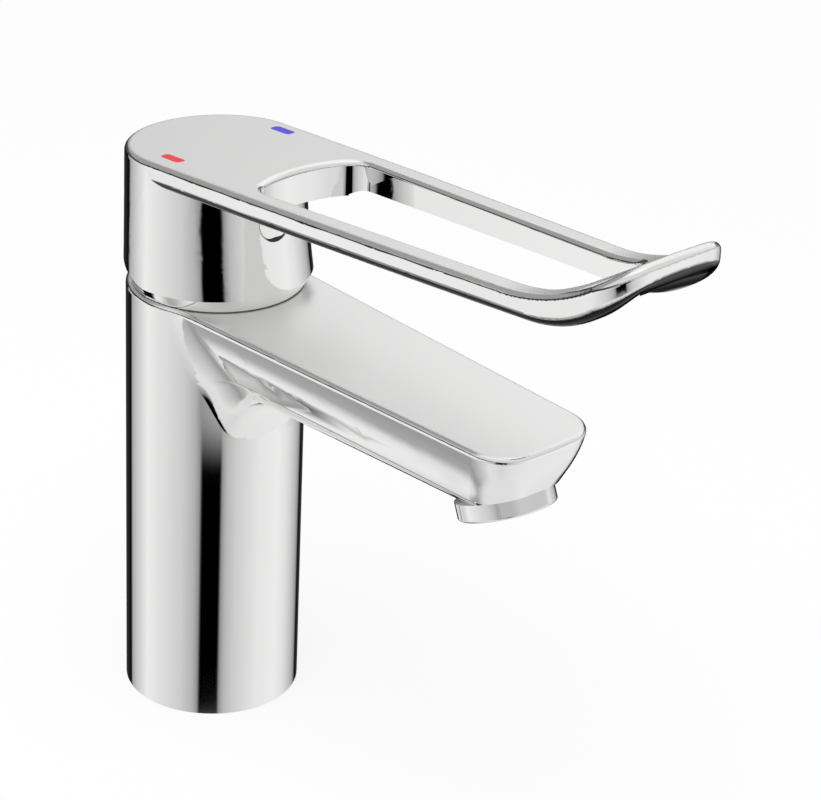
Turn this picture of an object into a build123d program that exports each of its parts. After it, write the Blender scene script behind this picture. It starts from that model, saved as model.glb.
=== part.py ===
"""Elbow lever basin tap: cast body with spout, ceramic disc cartridge and a long open loop lever.

Millimetres. The origin is the centre of the base, +Z is up, the spout and the lever point along -Y.
Hot is on -X and cold on +X.
"""
import os
from math import cos, hypot, radians, sin, sqrt, tan

from build123d import *

# Body and spout, outside
body_radius = 23.0
body_height = 115.7
spout_side_margin = 1.7
spout_taper_share = 0.041
spout_reach = 120.4
spout_front_radius = 105.0
spout_corner_radius = 10.0
spout_corner_limit_share = 0.9
spout_root_radius = 20.0
spout_root_limit_share = 0.9
hull_depth = 15.6
hull_level_shares = (0.0, 0.3, 0.55, 0.8, 1.0)
hull_inset_shares = (0.0, 0.17, 0.42, 0.75, 1.0)
hull_root_inset = 5.9
hull_tip_inset = 4.8
keel_root_margin = 1.8
keel_root_depth = 9.9
keel_tip_margin = 3.5
keel_tip_depth = 4.7
keel_tip_reach = 108.0
body_edge_radius = 1.3

# Aerator under the end of the spout
jet_angle = 22.3
aerator_radius = 11.9
aerator_collar_height = 4.35
aerator_rim_reach = 106.86
aerator_rim_drop = 21.52
aerator_thread_radius = 9.9
aerator_thread_length = 6.0
aerator_bore_clearance = 0.1
aerator_inner_radius = 8.7
aerator_lip_radius = 8.0
aerator_lip_height = 1.4
aerator_edge_radius = 0.5
insert_clearance = 0.1
insert_height = 4.6
insert_ring_radii = (3.3, 6.3)
insert_ring_counts = (5, 10)
insert_hole_radius = 1.1
screen_height = 3.0
screen_thickness = 0.7
screen_ring_radii = (2.6, 5.4)
screen_ring_counts = (5, 10)
screen_hole_radius = 0.8
washer_inner_radius = 7.6
washer_thickness = 2.0
plenum_radius = 7.8
plenum_depth = 2.5

# Lever: cap, plate and loop
lever_rise_angle = 3.6
lever_top_rise = 36.4
plate_depth = 6.3
plate_rear_margin = 0.4
plate_setback = 1.1
loop_reach = 153.3
loop_tip_half_width = 17.5
loop_side_bulge = 0.9
loop_corner_radius = 9.0
loop_front_radius = 90.0
loop_top_edge_radius = 1.6
loop_bottom_edge_radius = 2.6
opening_rear_reach = 29.3
opening_rear_sag = 4.6
arm_rear_width = 6.3
crosspiece_length = 19.3
arm_tip_width = 4.9
opening_rear_corner = 7.0
opening_front_corner = 6.0
opening_edge_radius = 1.3
tip_bend_length = 35.3
tip_bend_lag = 8.0
tip_top_end_angle = 50.572
tip_bottom_end_angle = 65.894
tip_hollow_rise = 52.8
tip_hollow_angle = 30.0
tip_hollow_margin = 0.4
tip_hollow_length = 24.0
tip_hollow_corner = 3.0
rim_rear_reach = 5.0
rim_rear_depth = 9.7
rim_front_depth = 6.35
rim_overlap = 0.3
rim_inward_margin = 1.5
web_half_width = 14.0
web_depth = 9.1
cap_waist_rise = 20.3
cap_waist_setback = 0.62
cap_skirt_overhang = 1.2
cap_skirt_advance = 0.98
lip_gap = 0.3
lip_inset = 0.5
lip_flare = 2.2
lip_chamfer_height = 4.0
cap_bore_clearance = 0.5
cap_bore_rise = 7.3
cap_cavity_clearance = 1.6
cap_cavity_rise = 27.3
boss_radius = 8.5
boss_bottom_gap = 4.0
marker_length = 7.2
marker_width = 2.8
marker_corner_radius = 1.0
marker_depth = 0.8
hot_marker_inset = 6.3
hot_marker_reach = 2.3
cold_marker_inset = 5.0
cold_marker_reach = 3.8

# Screw that clamps the lever on the stem, and its cover
screw_rise = 22.1
screw_radius = 2.5
screw_length = 6.0
screw_key_radius = 1.45
screw_key_depth = 2.4
screw_key_sides = 6
plug_radius = 4.65
plug_hole_clearance = 0.05
plug_rib_radius = 5.1
plug_rib_thickness = 0.8
plug_recess = 0.15

# Motions
pivot_rise = 29.0
lift_angle = 12.0

# Cartridge
seat_depth = 27.7
cartridge_base_margin = 0.2
cartridge_base_thickness = 5.0
inlet_port_radius = 2.3
inlet_port_offset = 4.6
inlet_port_reach = 3.6
outlet_port_radius = 2.9
outlet_port_setback = 5.4
seal_inner_margin = 0.2
seal_width = 1.2
seal_recess_margin = 0.1
seal_height = 1.6
peg_radius = 1.2
peg_length = 2.0
peg_clearance = 0.1
peg_offset = 10.9
key_radius = 0.9
key_height = 2.2
key_inset = 0.7
disc_thickness = 3.0
fixed_disc_clearance = 0.5
moving_disc_radius = 9.0
mixing_pocket_radius = 4.4
mixing_pocket_setback = 3.6
mixing_pocket_depth = 1.5
drive_lug_radius = 1.2
drive_lug_height = 1.2
drive_lug_offset = 6.4
slide_height = 4.5
slide_half_width = 8.0
slide_clearance = 0.1
slide_headroom = 0.2
housing_radius = 14.0
housing_wall = 1.5
housing_neck_radius = 11.5
housing_neck_wall = 1.7
housing_shoulder_rise = 20.0
housing_shoulder_thickness = 1.0
housing_top_rise = 32.0
turret_side_clearance = 0.2
turret_clearance = 0.1
turret_guide_drop = 4.2
turret_top_rise = 33.0
stem_half_width = 4.0
stem_shaft_radius = 2.4
stem_shaft_top_drop = 3.8
stem_ball_radius = 2.8
stem_ball_drop = 15.0
stem_top_rise = 27.1
stem_side_clearance = 0.2
stem_end_clearance = 0.3
stem_socket_clearance = 0.04
ball_clearance = 0.1
pin_radius = 1.6
pin_half_length = 9.3
pin_clearance = 0.08

# Retaining nut and neck ring
nut_wall = 6.0
nut_bore_clearance = 0.1
nut_inner_clearance = 0.3
nut_flange_overhang = 1.8
nut_flange_thickness = 1.4
nut_notch_width = 3.0
nut_notch_count = 4
ring_inner_clearance = 0.3
ring_setback = 1.5
ring_height = 3.9
ring_edge_radius = 0.6

# Waterways and fixings inside the body
chamber_clearance = 0.15
base_wall = 3.5
base_web_thickness = 30.0
inlet_socket_radius = 4.5
inlet_socket_depth = 12.0
inlet_socket_offset = 8.0
inlet_socket_reach = 2.0
stud_hole_radius = 3.4
stud_hole_depth = 13.0
stud_hole_inset = 6.3
duct_bottom_drop = 14.0
duct_height = 6.0
duct_half_width = 2.1
riser_half_width = 5.0
riser_rear_wall = 1.55
riser_front_wall = 2.0
channel_root_width = 16.0
channel_root_height = 10.0
channel_root_drop = 14.2
channel_tip_width = 10.0
channel_tip_height = 5.0
channel_tip_drop = 10.3
channel_tip_reach = 100.0
channel_corner_radius = 2.0
base_seal_width = 1.8
base_seal_margin = 0.8
base_seal_height = 1.6
base_seal_clearance = 0.05

span = 200.0
same_edge_distance = 0.15

os.makedirs("parts", exist_ok=True)

rise_share = tan(radians(lever_rise_angle))
jet_sine = sin(radians(jet_angle))
jet_cosine = cos(radians(jet_angle))
lift_sine = sin(radians(lift_angle))
lift_cosine = cos(radians(lift_angle))
spout_half_width = body_radius - spout_side_margin
keel_root_half_width = spout_half_width - hull_root_inset - keel_root_margin
keel_tip_half_width = spout_half_width - hull_root_inset - keel_tip_margin
base_cavity_radius = body_radius - base_wall
stud_hole_setback = base_cavity_radius - stud_hole_inset
base_seal_outer_radius = body_radius - base_seal_margin
base_seal_inner_radius = base_seal_outer_radius - base_seal_width
housing_bore_radius = housing_radius - housing_wall
housing_neck_bore_radius = housing_neck_radius - housing_neck_wall
turret_radius = housing_bore_radius - turret_side_clearance
turret_neck_radius = housing_neck_bore_radius - turret_side_clearance
cartridge_base_radius = housing_radius - cartridge_base_margin
fixed_disc_radius = housing_bore_radius - fixed_disc_clearance
key_offset = fixed_disc_radius - key_inset
chamber_radius = housing_radius + chamber_clearance
riser_rear_reach = chamber_radius + riser_rear_wall
riser_front_reach = body_radius - riser_front_wall
nut_inner_radius = housing_neck_radius + nut_inner_clearance
nut_thread_radius = body_radius - nut_wall
nut_flange_radius = nut_thread_radius + nut_flange_overhang
ring_inner_radius = nut_thread_radius + ring_inner_clearance
ring_outer_radius = body_radius - ring_setback
cap_bore_radius = ring_outer_radius + cap_bore_clearance
cap_cavity_radius = nut_flange_radius + cap_cavity_clearance
lip_radius = cap_bore_radius + lip_inset
cap_waist_radius = body_radius
cap_skirt_radius = body_radius + cap_skirt_overhang
plate_rear_radius = body_radius - plate_rear_margin
hot_marker_offset = plate_rear_radius - hot_marker_inset
cold_marker_offset = plate_rear_radius - cold_marker_inset
opening_rear_half_width = plate_rear_radius - arm_rear_width
opening_tip_half_width = loop_tip_half_width - arm_tip_width
tip_hollow_half_width = opening_tip_half_width + tip_hollow_margin
seat_height = body_height - seat_depth
housing_shoulder_height = seat_height + housing_shoulder_rise
housing_top_height = seat_height + housing_top_rise
turret_top_height = seat_height + turret_top_rise
pivot_height = seat_height + pivot_rise
stem_shaft_top_height = pivot_height - stem_shaft_top_drop
base_cavity_height = seat_height - base_web_thickness
duct_bottom_height = seat_height - duct_bottom_drop
channel_root_level = body_height - channel_root_drop
channel_tip_level = body_height - channel_tip_drop
aerator_rim_height = body_height - aerator_rim_drop
opening_front_reach = loop_reach - crosspiece_length
tip_top_bend_reach = loop_reach - tip_bend_length
tip_bottom_bend_reach = tip_top_bend_reach + tip_bend_lag
tip_end_reach = loop_reach + loop_top_edge_radius
lever_top_height = body_height + lever_top_rise
cap_waist_height = body_height + cap_waist_rise
cap_bore_height = body_height + cap_bore_rise
cap_cavity_height = body_height + cap_cavity_rise
boss_bottom_height = turret_top_height + boss_bottom_gap
screw_height = body_height + screw_rise
stem_top_height = body_height + stem_top_rise
aerator_plane = Plane(
    origin=(
        0,
        aerator_collar_height * jet_sine - aerator_rim_reach,
        aerator_rim_height + aerator_collar_height * jet_cosine,
    ),
    x_dir=(1, 0, 0),
    z_dir=(0, -jet_sine, -jet_cosine),
)
base_top_height = seat_height + cartridge_base_thickness
fixed_disc_top_height = base_top_height + disc_thickness
moving_disc_top_height = fixed_disc_top_height + disc_thickness
slide_top_height = moving_disc_top_height + slide_height
turret_bottom_height = slide_top_height + slide_headroom
turret_flange_top_height = housing_shoulder_height - housing_shoulder_thickness - turret_clearance
ball_height = pivot_height - stem_ball_drop
skirt_height = body_height + lip_gap
ring_top_height = body_height + ring_height
plug_rib_front_reach = sqrt(cap_cavity_radius**2 - plug_rib_radius**2)
inlet_ports = [(-inlet_port_offset, -inlet_port_reach), (inlet_port_offset, -inlet_port_reach)]
outlet_port = (0, outlet_port_setback)
pegs = [(-peg_offset, 0), (peg_offset, 0)]
keys = [(0, key_offset), (0, -key_offset)]
mark_centres = [(-hot_marker_offset, -hot_marker_reach), (cold_marker_offset, -cold_marker_reach)]


def lever_top_at(reach):
    """Height of the lever's flat top at a reach in front of the body's axis."""
    return lever_top_height + rise_share * reach


def bend_points(start_reach, start_height, end_angle):
    """Middle and end of the loop's upward bend, which starts at the slope of the lever's top."""
    radius = (tip_end_reach - start_reach) / (sin(radians(end_angle)) - sin(radians(lever_rise_angle)))
    centre_reach = start_reach - radius * sin(radians(lever_rise_angle))
    centre_height = start_height + radius * cos(radians(lever_rise_angle))
    return [
        (-reach, centre_height - sqrt(radius**2 - (reach - centre_reach) ** 2))
        for reach in ((start_reach + tip_end_reach) / 2, tip_end_reach)
    ]


def turned(*profile, plane=Plane.XZ):
    """Closed half section of a turned shape, drawn in a plane through its axis."""
    with BuildSketch(plane) as section:
        with BuildLine():
            Polyline(*profile, close=True)
        make_face()
    return section.sketch


def opening_outline():
    """Outline of the lever's opening, seen from above."""
    rear = (opening_rear_half_width, -opening_rear_reach - opening_rear_sag)
    front = (opening_tip_half_width, -opening_front_reach)
    with BuildSketch(Plane.XY.offset(skirt_height)) as outline:
        with BuildLine():
            ThreePointArc((-rear[0], rear[1]), (0, -opening_rear_reach), rear)
            Line(rear, front)
            Line(front, (-front[0], front[1]))
            Line((-front[0], front[1]), (-rear[0], rear[1]))
        make_face()
        fillet([v for v in vertices() if v.Y > -opening_front_reach / 2], opening_rear_corner)
        fillet([v for v in vertices() if v.Y < -opening_front_reach / 2], opening_front_corner)
    return outline.sketch


def upper_faces(found):
    """Faces of the lever that look up and lie above the cap's cavity."""
    above = [f for f in found if f.center().Z > cap_cavity_height]
    return [f for f in above if f.normal_at(f.center()).Z > lift_cosine / 2]


def outline_edges(found, rear_limit):
    """Outer edges of a group of faces, without the edges that two of them share."""
    group = [e for f in found for e in f.edges()]
    return [
        e
        for e in group
        if sum((other.center() - e.center()).length < same_edge_distance for other in group) == 1
        and e.center().Y < rear_limit
    ]


def cap_sections(inset):
    """The three circles that the cap's outer surface is drawn through, made smaller by an inset."""
    levels = (
        (skirt_height, cap_skirt_radius, -cap_skirt_advance),
        (cap_waist_height, cap_waist_radius, cap_waist_setback),
        (lever_top_height + body_edge_radius, plate_rear_radius, plate_setback),
    )
    sections = []
    for level, radius, setback in levels:
        with BuildSketch(Plane((0, setback, level))) as section:
            Circle(radius - inset)
        sections.append(section.sketch)
    return sections


# Cast body with the spout
with BuildPart() as mixer_body:
    for level_share, inset_share in zip(hull_level_shares, hull_inset_shares):
        root_x = spout_half_width - hull_root_inset * inset_share
        front = spout_reach - hull_tip_inset * inset_share
        tip_x = spout_half_width - spout_taper_share * front - hull_tip_inset * inset_share
        sag = spout_front_radius - sqrt(spout_front_radius**2 - tip_x**2)
        with BuildSketch(Plane.XY.offset(body_height - hull_depth * level_share)):
            with BuildLine():
                Line((-root_x, 0), (root_x, 0))
                Line((root_x, 0), (tip_x, sag - front))
                ThreePointArc((tip_x, sag - front), (0, -front), (-tip_x, sag - front))
                Line((-tip_x, sag - front), (-root_x, 0))
            make_face()
            corner_radius = min(spout_corner_radius, spout_corner_limit_share * tip_x)
            fillet([v for v in vertices() if v.Y < -spout_reach / 2], corner_radius)
    loft()
    with BuildSketch():
        Circle(body_radius)
    extrude(amount=body_height)

    # Sides and underside of the spout run into the body in one wide hollow curve
    root_edges = []
    for edge in edges():
        level = edge.center().Z
        start_radius = hypot(edge.start_point().X, edge.start_point().Y)
        end_radius = hypot(edge.end_point().X, edge.end_point().Y)
        on_body = max(abs(start_radius - body_radius), abs(end_radius - body_radius)) < same_edge_distance
        on_hull = body_height - hull_depth <= level < body_height
        if on_body and on_hull and edge.center().Y < -body_radius / 2:
            root_edges.append(edge)
    fillet(root_edges, min(spout_root_radius, spout_root_limit_share * body_radius))

    # Keel under the spout
    keel_sections = (
        (0, keel_root_half_width, keel_root_depth),
        (keel_tip_reach, keel_tip_half_width, keel_tip_depth),
    )
    for reach, half_width, depth in keel_sections:
        keel_plane = Plane(origin=(0, -reach, body_height - hull_depth), x_dir=(1, 0, 0), z_dir=(0, -1, 0))
        with BuildSketch(keel_plane):
            Ellipse(half_width, depth)
    loft()

    # Slanted seat for the aerator
    with BuildSketch(aerator_plane):
        Rectangle(span, 2 * (aerator_radius + keel_tip_depth / 2))
    extrude(amount=aerator_radius + keel_tip_depth, mode=Mode.SUBTRACT)

    # Rounded edges
    top_face = faces().sort_by(Axis.Z)[-1]
    fillet(top_face.edges(), body_edge_radius)

    # Chamber for the cartridge and its nut
    with BuildSketch(Plane.XY.offset(seat_height)):
        Circle(chamber_radius)
    extrude(amount=body_height, mode=Mode.SUBTRACT)
    with BuildSketch(Plane.XY.offset(housing_shoulder_height)):
        Circle(nut_thread_radius + nut_bore_clearance)
    extrude(amount=body_height, mode=Mode.SUBTRACT)
    with BuildSketch(Plane.XY.offset(seat_height)):
        with Locations(*pegs):
            Circle(peg_radius + peg_clearance)
    extrude(amount=-peg_length - peg_clearance, mode=Mode.SUBTRACT)

    # Hollow foot with the groove for its seal
    with BuildSketch():
        Circle(base_cavity_radius)
    extrude(amount=base_cavity_height, mode=Mode.SUBTRACT)
    with BuildSketch():
        Circle(base_seal_outer_radius + base_seal_clearance)
        Circle(base_seal_inner_radius - base_seal_clearance, mode=Mode.SUBTRACT)
    extrude(amount=base_seal_height, mode=Mode.SUBTRACT)

    # Hose sockets, slanted inlets and the stud hole
    socket_top_height = base_cavity_height + inlet_socket_depth
    for side in (-1, 1):
        socket_centre = (side * inlet_socket_offset, -inlet_socket_reach)
        with BuildSketch(Plane.XY.offset(base_cavity_height)):
            with Locations(socket_centre):
                Circle(inlet_socket_radius)
        extrude(amount=inlet_socket_depth, mode=Mode.SUBTRACT)
        with BuildSketch(Plane.XY.offset(socket_top_height)):
            with Locations(socket_centre):
                Circle(inlet_port_radius)
        with BuildSketch(Plane.XY.offset(seat_height)):
            with Locations((side * inlet_port_offset, -inlet_port_reach)):
                Circle(inlet_port_radius)
        loft(mode=Mode.SUBTRACT)
    with BuildSketch(Plane.XY.offset(base_cavity_height)):
        with Locations((0, stud_hole_setback)):
            Circle(stud_hole_radius)
    extrude(amount=stud_hole_depth, mode=Mode.SUBTRACT)

    # Outlet: down behind, forward under the seat, up in front and along the spout
    with BuildSketch(Plane.XY.offset(seat_height)):
        with Locations(outlet_port):
            Circle(outlet_port_radius)
    extrude(amount=duct_bottom_height - seat_height, mode=Mode.SUBTRACT)
    duct_rear = outlet_port_setback + duct_half_width
    with BuildSketch(Plane.XY.offset(duct_bottom_height)):
        with Locations((0, (duct_rear - riser_front_reach) / 2)):
            Rectangle(2 * duct_half_width, duct_rear + riser_front_reach)
    extrude(amount=duct_height, mode=Mode.SUBTRACT)
    riser_top_height = channel_root_level + channel_root_height / 2
    with BuildSketch(Plane.XY.offset(duct_bottom_height)):
        with Locations((0, -(riser_rear_reach + riser_front_reach) / 2)):
            Rectangle(2 * riser_half_width, riser_front_reach - riser_rear_reach)
    extrude(amount=riser_top_height - duct_bottom_height, mode=Mode.SUBTRACT)
    channel_sections = (
        (riser_rear_reach, channel_root_level, channel_root_width, channel_root_height),
        (channel_tip_reach, channel_tip_level, channel_tip_width, channel_tip_height),
    )
    for reach, level, width, height in channel_sections:
        channel_plane = Plane(origin=(0, -reach, level), x_dir=(1, 0, 0), z_dir=(0, -1, 0))
        with BuildSketch(channel_plane):
            RectangleRounded(width, height, channel_corner_radius)
    loft(mode=Mode.SUBTRACT)

    # Bore for the aerator, with the shoulder for its washer
    with BuildSketch(aerator_plane):
        Circle(aerator_thread_radius + aerator_bore_clearance)
    extrude(amount=-aerator_thread_length - washer_thickness, mode=Mode.SUBTRACT)
    with BuildSketch(aerator_plane):
        Circle(plenum_radius)
    extrude(amount=-aerator_thread_length - washer_thickness - plenum_depth, mode=Mode.SUBTRACT)

with BuildPart() as base_seal:
    with BuildSketch():
        Circle(base_seal_outer_radius)
        Circle(base_seal_inner_radius, mode=Mode.SUBTRACT)
    extrude(amount=base_seal_height)

# Cartridge, from the seat upwards
with BuildPart() as cartridge_base:
    with BuildSketch(Plane.XY.offset(seat_height)):
        Circle(cartridge_base_radius)
    extrude(amount=cartridge_base_thickness)
    with BuildSketch(Plane.XY.offset(seat_height)):
        with Locations(*inlet_ports):
            Circle(inlet_port_radius)
        with Locations(outlet_port):
            Circle(outlet_port_radius)
    extrude(amount=cartridge_base_thickness, mode=Mode.SUBTRACT)
    recess_margin = seal_inner_margin + seal_width + seal_recess_margin
    with BuildSketch(Plane.XY.offset(seat_height)):
        with Locations(*inlet_ports):
            Circle(inlet_port_radius + recess_margin)
        with Locations(outlet_port):
            Circle(outlet_port_radius + recess_margin)
    extrude(amount=seal_height, mode=Mode.SUBTRACT)
    with BuildSketch(Plane.XY.offset(seat_height)):
        with Locations(*pegs):
            Circle(peg_radius)
    extrude(amount=-peg_length)
    with BuildSketch(Plane.XY.offset(base_top_height)):
        with Locations(*keys):
            Circle(key_radius)
    extrude(amount=key_height)

with BuildPart() as inlet_seals:
    with BuildSketch(Plane.XY.offset(seat_height)):
        with Locations(*inlet_ports):
            Circle(inlet_port_radius + seal_inner_margin + seal_width)
            Circle(inlet_port_radius + seal_inner_margin, mode=Mode.SUBTRACT)
    extrude(amount=seal_height)

with BuildPart() as outlet_seal:
    with BuildSketch(Plane.XY.offset(seat_height)):
        with Locations(outlet_port):
            Circle(outlet_port_radius + seal_inner_margin + seal_width)
            Circle(outlet_port_radius + seal_inner_margin, mode=Mode.SUBTRACT)
    extrude(amount=seal_height)

with BuildPart() as fixed_ceramic_disc:
    with BuildSketch(Plane.XY.offset(base_top_height)):
        Circle(fixed_disc_radius)
        with Locations(*inlet_ports):
            Circle(inlet_port_radius, mode=Mode.SUBTRACT)
        with Locations(outlet_port):
            Circle(outlet_port_radius, mode=Mode.SUBTRACT)
        with Locations(*keys):
            Circle(key_radius + peg_clearance, mode=Mode.SUBTRACT)
    extrude(amount=disc_thickness)

with BuildPart() as moving_ceramic_disc:
    with BuildSketch(Plane.XY.offset(fixed_disc_top_height)):
        Circle(moving_disc_radius)
    extrude(amount=disc_thickness)
    with BuildSketch(Plane.XY.offset(fixed_disc_top_height)):
        with Locations((0, mixing_pocket_setback)):
            Circle(mixing_pocket_radius)
    extrude(amount=mixing_pocket_depth, mode=Mode.SUBTRACT)
    with BuildSketch(Plane.XY.offset(moving_disc_top_height)):
        with Locations((-drive_lug_offset, 0), (drive_lug_offset, 0)):
            Circle(drive_lug_radius + peg_clearance)
    extrude(amount=-drive_lug_height - peg_clearance, mode=Mode.SUBTRACT)

with BuildPart() as disc_carrier:
    with BuildSketch(Plane.XY.offset(moving_disc_top_height)):
        Circle(moving_disc_radius)
        Rectangle(2 * slide_half_width, 2 * moving_disc_radius, mode=Mode.INTERSECT)
        Rectangle(
            2 * (stem_ball_radius + ball_clearance),
            2 * (stem_ball_radius + ball_clearance),
            mode=Mode.SUBTRACT,
        )
    extrude(amount=slide_height)
    with BuildSketch(Plane.XY.offset(moving_disc_top_height)):
        with Locations((-drive_lug_offset, 0), (drive_lug_offset, 0)):
            Circle(drive_lug_radius)
    extrude(amount=-drive_lug_height)

with BuildPart() as cartridge_housing:
    housing_section = turned(
        (housing_bore_radius, base_top_height),
        (housing_radius, base_top_height),
        (housing_radius, housing_shoulder_height),
        (housing_neck_radius, housing_shoulder_height),
        (housing_neck_radius, housing_top_height),
        (housing_neck_bore_radius, housing_top_height),
        (housing_neck_bore_radius, housing_shoulder_height - housing_shoulder_thickness),
        (housing_bore_radius, housing_shoulder_height - housing_shoulder_thickness),
    )
    revolve(housing_section, axis=Axis.Z)

with BuildPart() as rotating_carrier:
    turret_section = turned(
        (0, turret_bottom_height),
        (turret_radius, turret_bottom_height),
        (turret_radius, turret_flange_top_height),
        (turret_neck_radius, turret_flange_top_height),
        (turret_neck_radius, turret_top_height),
        (0, turret_top_height),
    )
    revolve(turret_section, axis=Axis.Z)
    with BuildSketch(Plane.XY.offset(turret_bottom_height)):
        Circle(turret_radius)
        Rectangle(2 * (slide_half_width + slide_clearance), span, mode=Mode.SUBTRACT)
    extrude(amount=-turret_guide_drop)
    stem_gap = stem_half_width + stem_end_clearance
    lift_share = lift_sine / lift_cosine
    with BuildSketch(Plane.YZ):
        with BuildLine():
            Polyline(
                (-stem_gap, stem_top_height),
                (stem_gap + (stem_top_height - pivot_height) * lift_share, stem_top_height),
                (stem_gap, pivot_height),
                (stem_gap, ball_height),
                (-stem_gap - stem_ball_drop * lift_share, ball_height),
                (-stem_gap, pivot_height),
                close=True,
            )
        make_face()
    extrude(amount=stem_half_width + stem_side_clearance, both=True, mode=Mode.SUBTRACT)
    with BuildSketch(Plane.YZ):
        with Locations((0, pivot_height)):
            Circle(pin_radius)
    extrude(amount=span, both=True, mode=Mode.SUBTRACT)

with BuildPart() as pivot_pin:
    with BuildSketch(Plane.YZ):
        with Locations((0, pivot_height)):
            Circle(pin_radius)
    extrude(amount=pin_half_length, both=True)

with BuildPart() as stem:
    with BuildSketch(Plane.XY.offset(stem_shaft_top_height)):
        Rectangle(2 * stem_half_width, 2 * stem_half_width)
    extrude(amount=stem_top_height - stem_shaft_top_height)
    with BuildSketch(Plane.XY.offset(ball_height)):
        Circle(stem_shaft_radius)
    extrude(amount=stem_shaft_top_height - ball_height)
    with Locations((0, 0, ball_height)):
        Sphere(stem_ball_radius)
    with BuildSketch(Plane.YZ):
        with Locations((0, pivot_height)):
            Circle(pin_radius + pin_clearance)
    extrude(amount=span, both=True, mode=Mode.SUBTRACT)

# Nut and ring at the neck
with BuildPart() as retaining_nut:
    nut_section = turned(
        (nut_inner_radius, housing_shoulder_height),
        (nut_thread_radius, housing_shoulder_height),
        (nut_thread_radius, ring_top_height),
        (nut_flange_radius, ring_top_height),
        (nut_flange_radius, ring_top_height + nut_flange_thickness),
        (nut_inner_radius, ring_top_height + nut_flange_thickness),
    )
    revolve(nut_section, axis=Axis.Z)
    with BuildSketch(Plane.XY.offset(ring_top_height)):
        with PolarLocations(nut_flange_radius, nut_notch_count):
            Rectangle(nut_notch_width, nut_notch_width)
    extrude(amount=nut_flange_thickness, mode=Mode.SUBTRACT)

with BuildPart() as neck_ring:
    ring_section = turned(
        (ring_inner_radius, body_height),
        (ring_outer_radius, body_height),
        (ring_outer_radius, ring_top_height),
        (ring_inner_radius, ring_top_height),
    )
    revolve(ring_section, axis=Axis.Z)
    fillet(edges().filter_by(GeomType.CIRCLE).sort_by(Axis.Z)[-1], ring_edge_radius)

# Aerator
with BuildPart() as aerator_housing:
    with BuildSketch(aerator_plane):
        Circle(aerator_radius)
    extrude(amount=aerator_collar_height)
    collar_rim = [e for e in edges() if e.center().Z < aerator_rim_height + aerator_lip_height]
    fillet(collar_rim, aerator_edge_radius)
    with BuildSketch(aerator_plane):
        Circle(aerator_thread_radius)
    extrude(amount=-aerator_thread_length)
    with BuildSketch(aerator_plane):
        Circle(aerator_inner_radius)
    extrude(amount=-aerator_thread_length, mode=Mode.SUBTRACT)
    with BuildSketch(aerator_plane):
        Circle(aerator_inner_radius)
    extrude(amount=aerator_collar_height - aerator_lip_height, mode=Mode.SUBTRACT)
    with BuildSketch(aerator_plane):
        Circle(aerator_lip_radius)
    extrude(amount=aerator_collar_height, mode=Mode.SUBTRACT)

insert_bottom = aerator_collar_height - aerator_lip_height
with BuildPart() as aerator_insert:
    with BuildSketch(aerator_plane.offset(insert_bottom)):
        Circle(aerator_inner_radius - insert_clearance)
        Circle(insert_hole_radius, mode=Mode.SUBTRACT)
        for ring_radius, ring_count in zip(insert_ring_radii, insert_ring_counts):
            with PolarLocations(ring_radius, ring_count):
                Circle(insert_hole_radius, mode=Mode.SUBTRACT)
    extrude(amount=-insert_height)

screen_bottom = insert_bottom - insert_height
with BuildPart() as aerator_screen:
    with BuildSketch(aerator_plane.offset(screen_bottom)):
        Circle(aerator_inner_radius - insert_clearance)
    extrude(amount=-screen_height)
    with BuildSketch(aerator_plane.offset(screen_bottom)):
        Circle(aerator_inner_radius - insert_clearance - screen_thickness)
    extrude(amount=screen_thickness - screen_height, mode=Mode.SUBTRACT)
    with BuildSketch(aerator_plane.offset(screen_bottom)):
        Circle(screen_hole_radius)
        for ring_radius, ring_count in zip(screen_ring_radii, screen_ring_counts):
            with PolarLocations(ring_radius, ring_count):
                Circle(screen_hole_radius)
    extrude(amount=-screen_height, mode=Mode.SUBTRACT)

with BuildPart() as aerator_seal:
    with BuildSketch(aerator_plane.offset(-aerator_thread_length)):
        Circle(aerator_thread_radius)
        Circle(washer_inner_radius, mode=Mode.SUBTRACT)
    extrude(amount=-washer_thickness)

# Lever: cap, rim and web, then the plate with its loop that joins them
lever_plane = Plane(
    origin=(0, 0, lever_top_height),
    x_dir=(1, 0, 0),
    z_dir=(0, sin(radians(lever_rise_angle)), cos(radians(lever_rise_angle))),
)
with BuildPart() as lever_cap:
    loft(cap_sections(0))
    with BuildSketch(lever_plane):
        Rectangle(span, span)
    extrude(amount=plate_depth, mode=Mode.SUBTRACT)
    lip_profile = (
        (0, skirt_height - pivot_height),
        (lip_radius, skirt_height - pivot_height),
        (lip_radius + lip_flare, skirt_height - pivot_height + lip_chamfer_height),
        (span, skirt_height - pivot_height + lip_chamfer_height),
        (span, span),
        (0, span),
    )
    for sine, cosine in ((0, 1), (lift_sine, lift_cosine)):
        lip_plane = Plane(origin=(0, 0, pivot_height), x_dir=(1, 0, 0), z_dir=(0, -cosine, -sine))
        lip_axis = Axis((0, 0, pivot_height), (0, -sine, cosine))
        revolve(turned(*lip_profile, plane=lip_plane), axis=lip_axis, mode=Mode.INTERSECT)
    cavity_section = turned(
        (0, 0),
        (cap_bore_radius, 0),
        (cap_bore_radius, cap_bore_height),
        (cap_cavity_radius, cap_bore_height + cap_bore_radius - cap_cavity_radius),
        (cap_cavity_radius, cap_cavity_height),
        (0, cap_cavity_height),
    )
    revolve(cavity_section, axis=Axis.Z, mode=Mode.SUBTRACT)

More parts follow.
